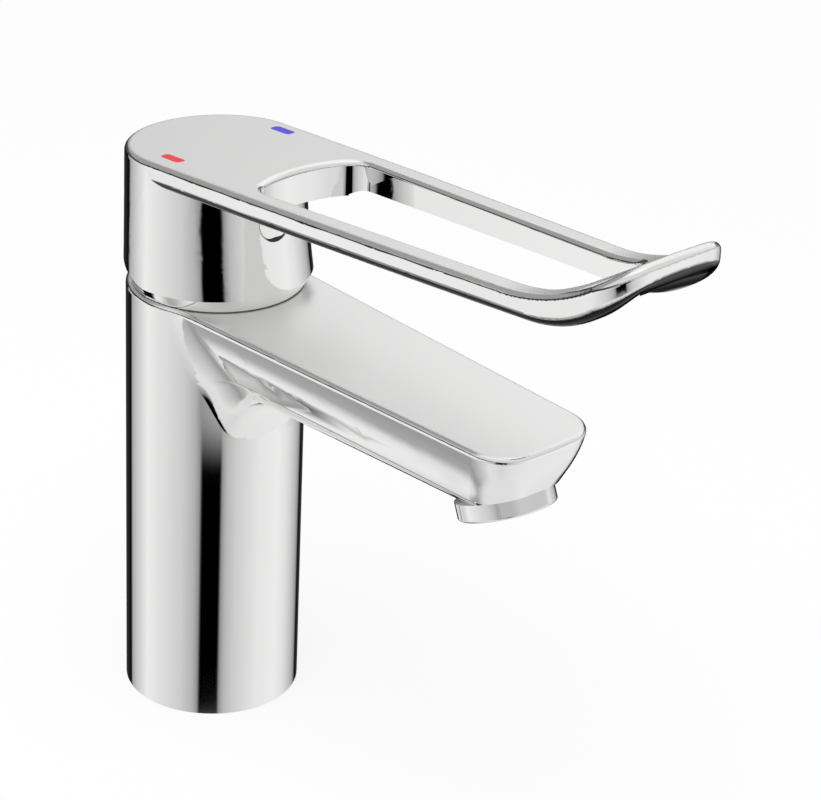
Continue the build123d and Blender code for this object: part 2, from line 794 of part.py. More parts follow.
with BuildPart() as lever_rim:
    rim_ends = (
        (rim_rear_reach, opening_rear_half_width, plate_rear_radius, rim_rear_depth),
        (tip_top_bend_reach, opening_tip_half_width, loop_tip_half_width, rim_front_depth),
    )
    for side in (-1, 1):
        for reach, inner_x, outer_x, depth in rim_ends:
            rim_inner = side * (inner_x - rim_inward_margin)
            rim_outer = side * (outer_x - loop_bottom_edge_radius - rim_overlap)
            rim_plane = Plane(origin=(0, -reach, lever_top_at(reach)), x_dir=(1, 0, 0), z_dir=(0, -1, 0))
            with BuildSketch(rim_plane):
                with BuildLine():
                    Polyline(
                        (rim_inner, -plate_depth / 2),
                        (rim_outer, rim_overlap - plate_depth),
                        (rim_inner, -depth),
                        close=True,
                    )
                make_face()
        loft()
    web_reach = (cap_cavity_radius + opening_rear_reach + opening_rear_sag) / 2
    with BuildSketch(lever_plane.offset(-web_depth)):
        with Locations((0, -web_reach)):
            Rectangle(2 * web_half_width, opening_rear_reach + opening_rear_sag - cap_cavity_radius)
    extrude(amount=web_depth / 2)

with BuildPart() as lever:
    tip_y = loop_front_radius - loop_reach - sqrt(loop_front_radius**2 - loop_tip_half_width**2)
    side_x = (plate_rear_radius + loop_tip_half_width) / 2 + loop_side_bulge
    side_y = (plate_setback + tip_y) / 2
    with BuildSketch(Plane.XY.offset(skirt_height)):
        with BuildLine():
            Line((-plate_rear_radius, plate_setback), (plate_rear_radius, plate_setback))
            for side in (-1, 1):
                ThreePointArc(
                    (side * plate_rear_radius, plate_setback),
                    (side * side_x, side_y),
                    (side * loop_tip_half_width, tip_y),
                )
            ThreePointArc((-loop_tip_half_width, tip_y), (0, -loop_reach), (loop_tip_half_width, tip_y))
        make_face()
        fillet([v for v in vertices() if v.Y < -opening_front_reach], loop_corner_radius)
    extrude(amount=lever_top_height)
    rear_y = 2 * plate_rear_radius
    top_start = (-tip_top_bend_reach, lever_top_at(tip_top_bend_reach))
    bottom_start = (-tip_bottom_bend_reach, lever_top_at(tip_bottom_bend_reach) - plate_depth)
    top_points = bend_points(tip_top_bend_reach, top_start[1], tip_top_end_angle)
    bottom_points = bend_points(tip_bottom_bend_reach, bottom_start[1], tip_bottom_end_angle)
    with BuildSketch(Plane.YZ):
        with BuildLine():
            Line((rear_y, lever_top_at(-rear_y)), top_start)
            ThreePointArc(top_start, *top_points)
            Line(top_points[-1], bottom_points[-1])
            ThreePointArc(bottom_start, *bottom_points)
            Line(bottom_start, (rear_y, lever_top_at(-rear_y) - plate_depth))
            Line((rear_y, lever_top_at(-rear_y) - plate_depth), (rear_y, lever_top_at(-rear_y)))
        make_face()
    extrude(amount=span, both=True, mode=Mode.INTERSECT)
    plate_bottom = [f for f in faces() if f.normal_at(f.center()).Z < -lift_cosine / 2]
    fillet(outline_edges(plate_bottom, 0), loop_bottom_edge_radius)
    add(lever_cap.part)
    fillet(outline_edges(upper_faces(faces()), span), loop_top_edge_radius)

    # Opening of the loop, with soft edges
    add(lever_rim.part)
    extrude(opening_outline(), amount=lever_top_height, mode=Mode.SUBTRACT)
    opening_rim = [
        e
        for e in outline_edges(upper_faces(faces()), span)
        if abs(e.center().X) < opening_rear_half_width + opening_edge_radius
        and opening_rear_reach - opening_edge_radius < -e.center().Y
        and -e.center().Y < opening_front_reach + opening_edge_radius
    ]
    fillet(opening_rim, opening_edge_radius)

    # Hollow under the crosspiece, between the arms
    hollow_plane = Plane(
        origin=(0, -loop_reach, body_height + tip_hollow_rise),
        x_dir=(1, 0, 0),
        z_dir=(0, cos(radians(tip_hollow_angle)), -sin(radians(tip_hollow_angle))),
    )
    with BuildSketch(hollow_plane):
        with Locations((0, tip_hollow_half_width)):
            RectangleRounded(2 * tip_hollow_half_width, 2 * tip_hollow_half_width, tip_hollow_corner)
    extrude(amount=tip_hollow_length, both=True, mode=Mode.SUBTRACT)

    # Boss with the stem's socket
    with BuildSketch(Plane.XY.offset(boss_bottom_height)):
        Circle(boss_radius)
    extrude(amount=cap_cavity_height - boss_bottom_height)
    with BuildSketch(Plane.XY.offset(boss_bottom_height)):
        Rectangle(
            2 * (stem_half_width + stem_socket_clearance),
            2 * (stem_half_width + stem_socket_clearance),
        )
    extrude(amount=stem_top_height + stem_socket_clearance - boss_bottom_height, mode=Mode.SUBTRACT)

    # Screw hole in the boss and the plug's hole in the cap
    with BuildSketch(Plane.XZ):
        with Locations((0, screw_height)):
            Circle(screw_radius)
    extrude(amount=plate_rear_radius - plug_rib_radius, mode=Mode.SUBTRACT)
    with BuildSketch(Plane.XZ.offset(boss_radius + plug_rib_thickness)):
        with Locations((0, screw_height)):
            Circle(plug_radius + plug_hole_clearance)
    extrude(amount=plate_rear_radius, mode=Mode.SUBTRACT)

    # Recesses for the two marks
    with BuildSketch(lever_plane):
        with Locations(*mark_centres):
            RectangleRounded(marker_width, marker_length, marker_corner_radius)
    extrude(amount=-marker_depth, mode=Mode.SUBTRACT)

markers = []
for centre in mark_centres:
    with BuildPart() as marker:
        with BuildSketch(lever_plane):
            with Locations(centre):
                RectangleRounded(marker_width, marker_length, marker_corner_radius)
        extrude(amount=-marker_depth)
    markers.append(marker)
hot_marker, cold_marker = markers

with BuildPart() as set_screw:
    with BuildSketch(Plane.XZ.offset(stem_half_width)):
        with Locations((0, screw_height)):
            Circle(screw_radius)
    extrude(amount=screw_length)
    with BuildSketch(Plane.XZ.offset(stem_half_width + screw_length)):
        with Locations((0, screw_height)):
            RegularPolygon(screw_key_radius, screw_key_sides)
    extrude(amount=-screw_key_depth, mode=Mode.SUBTRACT)

with BuildPart() as screw_plug:
    loft(cap_sections(plug_recess))
    with BuildSketch(Plane.XZ.offset(plug_rib_front_reach)):
        with Locations((0, screw_height)):
            Circle(plug_radius)
    extrude(amount=span, mode=Mode.INTERSECT)
    with BuildSketch(Plane.XZ.offset(plug_rib_front_reach)):
        with Locations((0, screw_height)):
            Circle(plug_rib_radius)
    extrude(amount=-plug_rib_thickness)

mixer_body.part.label = "mixer_body"
base_seal.part.label = "base_seal"
cartridge_base.part.label = "cartridge_base"
cartridge_housing.part.label = "cartridge_housing"
inlet_seals.part.label = "inlet_seals"
outlet_seal.part.label = "outlet_seal"
fixed_ceramic_disc.part.label = "fixed_ceramic_disc"
moving_ceramic_disc.part.label = "moving_ceramic_disc"
disc_carrier.part.label = "disc_carrier"
rotating_carrier.part.label = "rotating_carrier"
pivot_pin.part.label = "pivot_pin"
stem.part.label = "stem"
retaining_nut.part.label = "retaining_nut"
neck_ring.part.label = "neck_ring"
aerator_housing.part.label = "aerator_housing"
aerator_insert.part.label = "aerator_insert"
aerator_screen.part.label = "aerator_screen"
aerator_seal.part.label = "aerator_seal"
lever.part.label = "lever"
set_screw.part.label = "set_screw"
screw_plug.part.label = "screw_plug"
hot_marker.part.label = "hot_marker"
cold_marker.part.label = "cold_marker"

export_step(mixer_body.part, "parts/mixer_body.step")
export_step(base_seal.part, "parts/base_seal.step")
export_step(cartridge_base.part, "parts/cartridge_base.step")
export_step(cartridge_housing.part, "parts/cartridge_housing.step")
export_step(inlet_seals.part, "parts/inlet_seals.step")
export_step(outlet_seal.part, "parts/outlet_seal.step")
export_step(fixed_ceramic_disc.part, "parts/fixed_ceramic_disc.step")
export_step(moving_ceramic_disc.part, "parts/moving_ceramic_disc.step")
export_step(disc_carrier.part, "parts/disc_carrier.step")
export_step(rotating_carrier.part, "parts/rotating_carrier.step")
export_step(pivot_pin.part, "parts/pivot_pin.step")
export_step(stem.part, "parts/stem.step")
export_step(retaining_nut.part, "parts/retaining_nut.step")
export_step(neck_ring.part, "parts/neck_ring.step")
export_step(aerator_housing.part, "parts/aerator_housing.step")
export_step(aerator_insert.part, "parts/aerator_insert.step")
export_step(aerator_screen.part, "parts/aerator_screen.step")
export_step(aerator_seal.part, "parts/aerator_seal.step")
export_step(lever.part, "parts/lever.step")
export_step(set_screw.part, "parts/set_screw.step")
export_step(screw_plug.part, "parts/screw_plug.step")
export_step(hot_marker.part, "parts/hot_marker.step")
export_step(cold_marker.part, "parts/cold_marker.step")
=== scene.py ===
"""Materials, small pieces, studio and camera for the elbow lever tap."""
import math

import bmesh
import bpy
from bpy.props import FloatProperty, FloatVectorProperty, IntProperty, PointerProperty
from mathutils import Matrix, Vector
from mathutils.bvhtree import BVHTree


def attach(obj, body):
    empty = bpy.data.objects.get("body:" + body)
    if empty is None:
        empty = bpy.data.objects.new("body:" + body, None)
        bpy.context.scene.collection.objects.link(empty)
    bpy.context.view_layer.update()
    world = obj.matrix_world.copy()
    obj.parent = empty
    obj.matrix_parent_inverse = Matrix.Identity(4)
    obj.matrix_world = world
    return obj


bl_info = {
    "name": "Elbow Lever Tap",
    "version": (1, 0, 0),
    "blender": (4, 5, 0),
    "location": "View3D > Sidebar > Tap",
    "description": "Dresses the packed tap: finishes, small pieces, studio and camera",
    "category": "Object",
}

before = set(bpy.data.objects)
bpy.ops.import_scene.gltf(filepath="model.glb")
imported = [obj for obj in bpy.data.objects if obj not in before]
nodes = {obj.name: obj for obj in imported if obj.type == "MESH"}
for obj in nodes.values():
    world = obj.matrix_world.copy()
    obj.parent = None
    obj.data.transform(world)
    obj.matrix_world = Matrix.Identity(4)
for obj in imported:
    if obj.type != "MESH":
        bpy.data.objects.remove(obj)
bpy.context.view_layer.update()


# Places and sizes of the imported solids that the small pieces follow, in metres and degrees

HOLE_MOUTH = 0.058
SOCKET_OFFSET = 0.008
SOCKET_Y = -0.002
SOCKET_RADIUS = 0.0045
SOCKET_DEPTH = 0.012
STUD_Y = 0.0132
STUD_RADIUS = 0.0034
STUD_DEPTH = 0.013
JET_CENTRE = (0.0, -0.10521, 0.09820)
JET_ANGLE = 22.3
JET_RADIUS = 0.0079
JET_MESH_DEPTH = 0.0032
PLUG_HEIGHT = 0.1378
PLUG_GAP_RADIUS = 0.00468

# Threads: steps to a turn, and the width of the ridge at its base and its crest as shares of the pitch

THREAD_STEPS = 28
THREAD_BASE_SHARE = 0.8
THREAD_CREST_SHARE = 0.2
THREAD_MARGIN = 0.0004
WALL_OVERLAP = 0.00003

# Jet mesh: steps of a wire to each opening, and the fewest that a short wire gets

WEAVE_STEPS = 4
LEAST_WIRE_STEPS = 4

# Plug gap shade, a dark ring that stands in for the shade in the gap round the plug: where the lines start
# that look for the front behind them, steps round the ring, how far it goes in and stands out, and the
# painted shadow crescent at its bottom

PROBE_Y = -1.0
GAP_SHADE_STEPS = 96
GAP_SHADE_SINK = 0.0003
GAP_SHADE_PROUD = 0.00003
SHADOW_CRESCENT_HEIGHT = 0.0009
SHADOW_CRESCENT_SHARPNESS = 8

# Surface variation: the noise behind the two masks, and the grain's share in the height

PATCH_DETAIL = 3.0
PATCH_ROUGHNESS = 0.55
PATCH_RANGE = (0.35, 0.7)
GRAIN_DETAIL = 2.0
GRAIN_RANGE = (0.3, 0.75)
GRAIN_HEIGHT_SHARE = 0.5

# Lower edges, where the lever's chrome gets painted shade: the range in which their mask fades as a slope
# turns to the floor, and the heights between which it sets in below the loop

FLOOR_FACING = (0.86, 0.97)
LOOP_LEVELS = (0.138, 0.144)

# Chrome: scales of the handling, what it adds to the roughness, and the share of colour left in the painted
# shade of a lower edge

CHROME_PATCHES = 18.0
CHROME_GRAIN = 700.0
CHROME_HANDLING = 0.02
CHROME_PAINTED_SHADE_SHARE = 0.02

# Enamel: scales of its patches and grain, and the share of the colour that the patches keep, a little milky

ENAMEL_PATCHES = 220.0
ENAMEL_GRAIN = 1600.0
ENAMEL_SHADE_SHARE = 0.8
ENAMEL_MILK = 0.02
ENAMEL_ROUGHNESS = 0.4
ENAMEL_SPECULAR = 0.25
ENAMEL_RELIEF = 0.25
ENAMEL_RELIEF_DEPTH = 0.00008

# Moulded pieces: roughness from low to high, scales of patches and grain, strength and depth of the relief

PLASTIC = dict(low=0.38, high=0.5, patches=40.0, grain=1500.0, relief=0.2, depth=0.00003)
CERAMIC = dict(low=0.12, high=0.22, patches=60.0, grain=2500.0, relief=0.08, depth=0.00001)
SEAL_RUBBER = dict(low=0.5, high=0.68, patches=50.0, grain=1200.0, relief=0.35, depth=0.00005)
# Rubber of the dark ring that stands in for the shade in the gap round the plug
GAP_SHADE_RUBBER = dict(low=0.5, high=0.65, patches=90.0, grain=1400.0, relief=0.3, depth=0.00002)
MOULDED_SHADE_SHARE = 0.85

# Turned pieces: roughness from low to high and the scale of the tool marks, then what all of them share

BRASS = dict(low=0.2, high=0.34, grooves=420.0)
STEEL = dict(low=0.22, high=0.36, grooves=520.0)
THREAD_BRASS = dict(low=0.2, high=0.32, grooves=600.0)
WIRE_STEEL = dict(low=0.2, high=0.3, grooves=900.0)
TURNED_PATCHES = 60.0
TURNED_GRAIN = 1400.0
TURNED_SHADE_SHARE = 0.8
GROOVE_DISTORTION = 0.4
GROOVE_RELIEF = 0.3
GROOVE_DEPTH = 0.00004

# Camera, floor and lamp

SENSOR_WIDTH = 36.0
CLIP_START = 0.01
CLIP_END = 100.0
FLOOR_DROP = 0.0002
FLOOR_COLOR = (0.9, 0.9, 0.9)
FLOOR_GLOW = 1.08
FLOOR_GLOW_SHARE = 0.72
LAMP_SIZE = 1.4
LAMP_PLACE = (-0.5, -0.3, 1.5)
LAMP_TARGET = (0.0, -0.06, 0.08)
WHITE = (1.0, 1.0, 1.0)

# Light that the chrome mirrors, in stops round the tap. A stop is a bearing in degrees, 0 towards the camera
# and positive to the camera's right, and a brightness.

FLOOR_STOPS = ((-180, 0.78), (180, 0.78))
TABLE_STOPS = (
    (-180, 0.03), (-128, 0.0), (-124, 0.9), (-117, 0.78), (-108, 0.42), (-98, 0.34), (-80, 0.5), (-40, 0.8),
    (0, 0.72), (40, 0.8), (110, 0.86), (130, 0.8), (144, 0.3), (150, 0.0), (180, 0.03),
)
WALL_STOPS = (
    (-180, 0.06), (-134, 0.0), (-129, 0.42), (-116, 0.6), (-92, 0.9), (-39, 0.65), (-22, 0.48),
    (-15.5, 0.3), (-12.5, 0.0), (11, 0.0), (14, 0.3), (20, 0.5), (33, 0.65), (66, 0.84), (96, 0.9),
    (113, 0.8), (137, 0.5), (147, 0.3), (153, 0.0), (180, 0.06),
)
WINDOW_HALF_ANGLE = 14
WINDOW_STOPS = tuple(stop for stop in WALL_STOPS if abs(stop[0]) > WINDOW_HALF_ANGLE)
HORIZON_STOPS = (
    (-180, 0.1), (-135, 0.06), (-120, 0.03), (-60, 0.03), (-30, 0.2), (-14, 0.5), (14, 0.5), (30, 0.6),
    (120, 0.6), (150, 0.1), (180, 0.1),
)
SKY_STOPS = (
    (-180, 1.0), (-172, 1.0), (-155, 0.34), (-95, 0.34), (-75, 0.72), (95, 0.72), (150, 1.0), (180, 1.0),
)
DOME_STOPS = ((-180, 1.0), (180, 1.0))

# Rings of light above the floor's: the heights between which each takes over from the one below, from -1 for
# straight down to 1 for straight up, and its stops

LIGHT_RINGS = (
    (-0.97, -0.88, TABLE_STOPS),
    (-0.56, -0.535, WALL_STOPS),
    (-0.464, -0.443, WINDOW_STOPS),
    (-0.41, -0.4, WALL_STOPS),
    (-0.08, 0.02, HORIZON_STOPS),
    (0.16, 0.3, SKY_STOPS),
    (0.78, 0.95, DOME_STOPS),
)


# Settings

class TapFinishSettings(bpy.types.PropertyGroup):
    """Colours and surface values of the tap's materials."""

    chrome_color: FloatVectorProperty(
        name="Chrome",
        description="Reflection colour of the plated surfaces",
        subtype="COLOR",
        default=(0.93, 0.93, 0.925),
        min=0.0,
        max=1.0,
    )
    chrome_roughness: FloatProperty(
        name="Chrome Roughness",
        description="Lowest roughness of the plated surfaces",
        subtype="FACTOR",
        default=0.025,
        min=0.0,
        max=1.0,
    )
    top_roughness: FloatProperty(
        name="Top Roughness",
        description="Roughness of the plated surfaces that look up",
        subtype="FACTOR",
        default=0.42,
        min=0.0,
        max=1.0,
    )
    hot_color: FloatVectorProperty(
        name="Hot Mark",
        description="Enamel colour of the mark on the hot side",
        subtype="COLOR",
        default=(0.95, 0.04, 0.06),
        min=0.0,
        max=1.0,
    )
    cold_color: FloatVectorProperty(
        name="Cold Mark",
        description="Enamel colour of the mark on the cold side",
        subtype="COLOR",
        default=(0.1, 0.06, 0.78),
        min=0.0,
        max=1.0,
    )
    # This colour is also on the dark ring that stands in for the shade in the gap round the plug
    rubber_color: FloatVectorProperty(
        name="Rubber",
        description="Colour of the seals",
        subtype="COLOR",
        default=(0.022, 0.022, 0.023),
        min=0.0,
        max=1.0,
    )
    plastic_color: FloatVectorProperty(
        name="Moulded Plastic",
        description="Colour of the cartridge and of the flow straightener",
        subtype="COLOR",
        default=(0.72, 0.73, 0.72),
        min=0.0,
        max=1.0,
    )
    ceramic_color: FloatVectorProperty(
        name="Ceramic",
        description="Colour of the cartridge discs",
        subtype="COLOR",
        default=(0.86, 0.85, 0.82),
        min=0.0,
        max=1.0,
    )
    brass_color: FloatVectorProperty(
        name="Brass",
        description="Colour of the turned brass pieces",
        subtype="COLOR",
        default=(0.78, 0.6, 0.32),
        min=0.0,
        max=1.0,
    )
    steel_color: FloatVectorProperty(
        name="Steel",
        description="Colour of the pin, the screw, the screen and the jet's mesh",
        subtype="COLOR",
        default=(0.6, 0.6, 0.61),
        min=0.0,
        max=1.0,
    )


class TapStudioSettings(bpy.types.PropertyGroup):
    """Camera and light of the photograph."""

    view_azimuth: FloatProperty(
        name="View Azimuth",
        description="Turn of the camera round the tap, from straight in front",
        subtype="ANGLE",
        default=math.radians(-43.97),
    )
    view_elevation: FloatProperty(
        name="View Elevation",
        description="Height angle of the camera",
        subtype="ANGLE",
        default=math.radians(26.05),
    )
    view_roll: FloatProperty(
        name="View Roll",
        description="Turn of the camera about its own axis",
        subtype="ANGLE",
        default=math.radians(-2.67),
    )
    view_distance: FloatProperty(
        name="View Distance",
        description="Distance of the camera along its axis from the tap's origin",
        subtype="DISTANCE",
        default=0.768426,
        min=0.1,
    )
    view_right: FloatProperty(
        name="View Right",
        description="How far the camera is moved to its right",
        subtype="DISTANCE",
        default=0.053856,
    )
    view_down: FloatProperty(
        name="View Down",
        description="How far the camera is moved down",
        subtype="DISTANCE",
        default=-0.072596,
    )
    view_lens: FloatProperty(
        name="Focal Length",
        description="Focal length on a sensor 36 mm wide",
        subtype="DISTANCE_CAMERA",
        default=124.3,
        min=1.0,
    )
    sky_strength: FloatProperty(
        name="Sky Strength",
        description="Light of the surroundings on surfaces that aren't mirrors",
        default=0.62,
        min=0.0,
    )
    key_power: FloatProperty(
        name="Key Power",
        description="Power of the soft lamp above the tap",
        unit="POWER",
        default=9.0,
        min=0.0,
    )
    floor_size: FloatProperty(
        name="Floor Size",
        description="Width of the floor",
        subtype="DISTANCE",
        default=30.0,
        min=1.0,
    )


class TapPieceSettings(bpy.types.PropertyGroup):
    """Sizes of the small pieces that are only in the scene."""

    hose_pitch: FloatProperty(
        name="Hose Thread Pitch",
        description="Pitch of the thread in the two hose sockets",
        subtype="DISTANCE",
        default=0.001,
        min=0.0002,
    )
    stud_pitch: FloatProperty(
        name="Stud Thread Pitch",
        description="Pitch of the thread in the stud hole",
        subtype="DISTANCE",
        default=0.00125,
        min=0.0002,
    )
    thread_depth: FloatProperty(
        name="Thread Depth",
        description="Height of a thread's ridge above the wall of its hole",
        subtype="DISTANCE",
        default=0.0004,
        min=0.0,
    )
    wire_count: IntProperty(
        name="Wires",
        description="Number of wires each way in the jet's mesh",
        default=15,
        min=3,
        max=60,
    )
    wire_width: FloatProperty(
        name="Wire Width",
        description="Thickness of a wire in the jet's mesh",
        subtype="DISTANCE",
        default=0.00018,
        min=0.00002,
    )
    # Width of the dark ring that stands in for the shade in the gap round the plug
    seal_width: FloatProperty(
        name="Plug Gap Shade Width",
        description="Visible width of the rubber round the plug",
        subtype="DISTANCE",
        default=0.0003,
        min=0.00002,
    )


# Node helpers, where x and y are a node's place in the editor

def set_inputs(tree, node, inputs):
    """Gives a node's inputs, by name or number, a plain value or the output of another node."""
    for key, value in inputs.items():
        if isinstance(value, bpy.types.NodeSocket):
            tree.links.new(value, node.inputs[key])
        else:
            node.inputs[key].default_value = value


def add_node(tree, kind, x, y, inputs=None, **settings):
    """A shader node with its settings and inputs."""
    node = tree.nodes.new(kind)
    node.location = (x, y)
    for key, value in settings.items():
        setattr(node, key, value)
    set_inputs(tree, node, inputs or {})
    return node


def math_node(tree, operation, first, second, x, y):
    """A Math node; returns its output."""
    return add_node(tree, "ShaderNodeMath", x, y, {0: first, 1: second}, operation=operation).outputs[0]


def map_range(tree, value, from_min, from_max, to_min=0.0, to_max=1.0, *, x, y):
    """A smooth Map Range node; returns its output."""
    inputs = {"Value": value, "From Min": from_min, "From Max": from_max, "To Min": to_min, "To Max": to_max}
    node = add_node(tree, "ShaderNodeMapRange", x, y, inputs, interpolation_type="SMOOTHSTEP")
    return node.outputs["Result"]


def mix_values(tree, kind, share, first, second, x, y):
    """A Mix node for numbers, of kind FLOAT, or for colours, of kind RGBA; returns its output."""
    inputs = {"Factor": share, "A": first, "B": second}
    return add_node(tree, "ShaderNodeMix", x, y, inputs, data_type=kind).outputs["Result"]


def mix_shaders(tree, share, first, second, x, y):
    """A Mix Shader node; returns its output."""
    return add_node(tree, "ShaderNodeMixShader", x, y, {"Fac": share, 1: first, 2: second}).outputs[0]


def with_alpha(color, share=1.0, lift=0.0):
    """A colour with full alpha, brought down to a share of itself and then lifted."""
    return (*(channel * share + lift for channel in color), 1.0)


# Node groups

def new_group(name, inputs, outputs):
    """An empty shader node group with float sockets; returns it with its input and output nodes."""
    group = bpy.data.node_groups.new(name, "ShaderNodeTree")
    for socket_name, default in inputs.items():
        socket = group.interface.new_socket(name=socket_name, in_out="INPUT", socket_type="NodeSocketFloat")
        socket.default_value = default
    for socket_name in outputs:
        group.interface.new_socket(name=socket_name, in_out="OUTPUT", socket_type="NodeSocketFloat")
    return group, add_node(group, "NodeGroupInput", -900, 0), add_node(group, "NodeGroupOutput", 600, 0)


def add_group(tree, build, x, y, inputs=None):
    """Places the node group that a function builds under its own name. It is built only once."""
    group = bpy.data.node_groups.get(build.__name__) or build()
    return add_node(tree, "ShaderNodeGroup", x, y, inputs, node_tree=group)


def surface_variation():
    """Uneven handling and fine grain, as two masks from 0 to 1, and a height made of both."""
    scales = {"Patch Scale": 30.0, "Grain Scale": 900.0}
    group, source, result = new_group("surface_variation", scales, ("Patches", "Grain", "Height"))
    place = add_node(group, "ShaderNodeTexCoord", -900, -250).outputs["Object"]
    patches = add_node(group, "ShaderNodeTexNoise", -650, 120, {
        "Vector": place,
        "Scale": source.outputs["Patch Scale"],
        "Detail": PATCH_DETAIL,
        "Roughness": PATCH_ROUGHNESS,
    })
    grain = add_node(group, "ShaderNodeTexNoise", -650, -180, {
        "Vector": place,
        "Scale": source.outputs["Grain Scale"],
        "Detail": GRAIN_DETAIL,
    })
    soft = map_range(group, patches.outputs["Fac"], *PATCH_RANGE, x=-350, y=120)
    fine = map_range(group, grain.outputs["Fac"], *GRAIN_RANGE, x=-350, y=-180)
    fine_height = math_node(group, "MULTIPLY", fine, GRAIN_HEIGHT_SHARE, -120, -180)
    height = math_node(group, "ADD", soft, fine_height, 60, 0)
    set_inputs(group, result, {"Patches": soft, "Grain": fine, "Height": height})
    return group


def normal_height(group):
    """How far a surface looks up: 1 on a flat top, 0 on an upright side and -1 on an underside."""
    surface = add_node(group, "ShaderNodeNewGeometry", -900, -250)
    split = add_node(group, "ShaderNodeSeparateXYZ", -650, 0, {"Vector": surface.outputs["Normal"]})
    return split.outputs["Z"]


def upward():
    """Mask of the surfaces that look up, 1 up to a slope of about 22 degrees and 0 from about 31."""
    group, source, result = new_group("upward", {"Level Start": 0.86, "Level End": 0.93}, ("Mask",))
    start, end = source.outputs["Level Start"], source.outputs["Level End"]
    set_inputs(group, result, {"Mask": map_range(group, normal_height(group), start, end, x=-300, y=0)})
    return group


def painted_shade_edges():
    """Mask of the loop's rounded lower edges, where the chrome gets painted shade: they slope down and don't
    yet face the floor.

    The height keeps the mask off the lower edge of the cap.
    """
    group, source, result = new_group("painted_shade_edges", {"Start": 0.1, "End": 0.3}, ("Mask",))
    down = math_node(group, "MULTIPLY", normal_height(group), -1.0, -450, 0)
    slope = map_range(group, down, source.outputs["Start"], source.outputs["End"], x=-300, y=0)
    fade = map_range(group, down, *FLOOR_FACING, 1.0, 0.0, x=-300, y=-200)
    place = add_node(group, "ShaderNodeTexCoord", -900, -500).outputs["Object"]
    level = add_node(group, "ShaderNodeSeparateXYZ", -650, -500, {"Vector": place}).outputs["Z"]
    above = map_range(group, level, *LOOP_LEVELS, x=-300, y=-500)
    mask = math_node(group, "MULTIPLY", slope, fade, 0, 0)
    mask = math_node(group, "MULTIPLY", mask, above, 200, 0)
    set_inputs(group, result, {"Mask": mask})
    return group


# Materials

def new_material(name):
    """A material with its Principled shader; returns the material, its tree and the shader."""
    material = bpy.data.materials.new(name)
    material.use_nodes = True
    tree = material.node_tree
    return material, tree, tree.nodes["Principled BSDF"]


def add_variation(tree, patch_scale, grain_scale):
    """The outputs of the surface_variation group at a material's own scales."""
    scales = {"Patch Scale": patch_scale, "Grain Scale": grain_scale}
    return add_group(tree, surface_variation, -700, 0, scales).outputs


def uneven_color(tree, variation, color, share, lift=0.0):
    """A colour that the variation's patches bring down to a share of itself, with a lift."""
    patch_color = with_alpha(color, share, lift)
    return mix_values(tree, "RGBA", variation["Patches"], with_alpha(color), patch_color, -250, 150)


def add_bump(tree, height, strength, distance):
    """A Bump node; returns its normal."""
    inputs = {"Strength": strength, "Distance": distance, "Height": height}
    return add_node(tree, "ShaderNodeBump", -250, -300, inputs).outputs["Normal"]


def chrome_material(settings, name, painted_shade_strength):
    """Polished plating with a trace of handling; its flat tops are softer mirrors.

    The strength says how much painted shade darkens the lower edges, from 0 to 1. It stands in for dark
    surroundings mirrored there.
    """
    material, tree, shader = new_material(name)
    # Painted shade: the colour of the lower edges drops to a small share of itself, standing in for dark
    # surroundings mirrored there
    edges = add_group(tree, painted_shade_edges, -700, 350).outputs["Mask"]
    shade = math_node(tree, "MULTIPLY", edges, painted_shade_strength, -450, 350)
    color = with_alpha(settings.chrome_color)
    painted_shade_color = with_alpha(settings.chrome_color, CHROME_PAINTED_SHADE_SHARE)
    patches = add_variation(tree, CHROME_PATCHES, CHROME_GRAIN)["Patches"]
    low = settings.chrome_roughness
    sides = map_range(tree, patches, 0.0, 1.0, low, low + CHROME_HANDLING, x=-450, y=120)
    tops = add_group(tree, upward, -700, -250).outputs["Mask"]
    set_inputs(tree, shader, {
        "Base Color": mix_values(tree, "RGBA", shade, color, painted_shade_color, -250, 300),
        "Metallic": 1.0,
        "Roughness": mix_values(tree, "FLOAT", tops, sides, settings.top_roughness, -250, 0),
    })
    return material


def enamel_material(name, color):
    """Gloss enamel in a recess, slightly uneven like a filled mark."""
    material, tree, shader = new_material(name)
    variation = add_variation(tree, ENAMEL_PATCHES, ENAMEL_GRAIN)
    set_inputs(tree, shader, {
        "Base Color": uneven_color(tree, variation, color, ENAMEL_SHADE_SHARE, ENAMEL_MILK),
        "Roughness": ENAMEL_ROUGHNESS,
        "Specular IOR Level": ENAMEL_SPECULAR,
        "Normal": add_bump(tree, variation["Height"], ENAMEL_RELIEF, ENAMEL_RELIEF_DEPTH),
    })
    return material


def moulded_material(name, color, low, high, patches, grain, relief, depth):
    """Plastic, rubber or ceramic: colour and roughness vary a little, with a fine moulded grain."""
    material, tree, shader = new_material(name)
    variation = add_variation(tree, patches, grain)
    set_inputs(tree, shader, {
        "Base Color": uneven_color(tree, variation, color, MOULDED_SHADE_SHARE),
        "Roughness": map_range(tree, variation["Grain"], 0.0, 1.0, low, high, x=-450, y=-120),
        "Normal": add_bump(tree, variation["Height"], relief, depth),
    })
    return material


def turned_material(name, color, low, high, grooves):
    """Machined metal: fine tool marks round the vertical axis."""
    material, tree, shader = new_material(name)
    variation = add_variation(tree, TURNED_PATCHES, TURNED_GRAIN)
    place = add_node(tree, "ShaderNodeTexCoord", -1100, -300).outputs["Object"]
    inputs = {"Vector": place, "Scale": grooves, "Distortion": GROOVE_DISTORTION}
    wave = add_node(tree, "ShaderNodeTexWave", -900, -300, inputs, wave_type="BANDS", bands_direction="Z")
    marks = wave.outputs["Fac"]
    set_inputs(tree, shader, {
        "Base Color": uneven_color(tree, variation, color, TURNED_SHADE_SHARE),
        "Metallic": 1.0,
        "Roughness": map_range(tree, marks, 0.0, 1.0, low, high, x=-450, y=-120),
        "Normal": add_bump(tree, marks, GROOVE_RELIEF, GROOVE_DEPTH),
    })
    return material


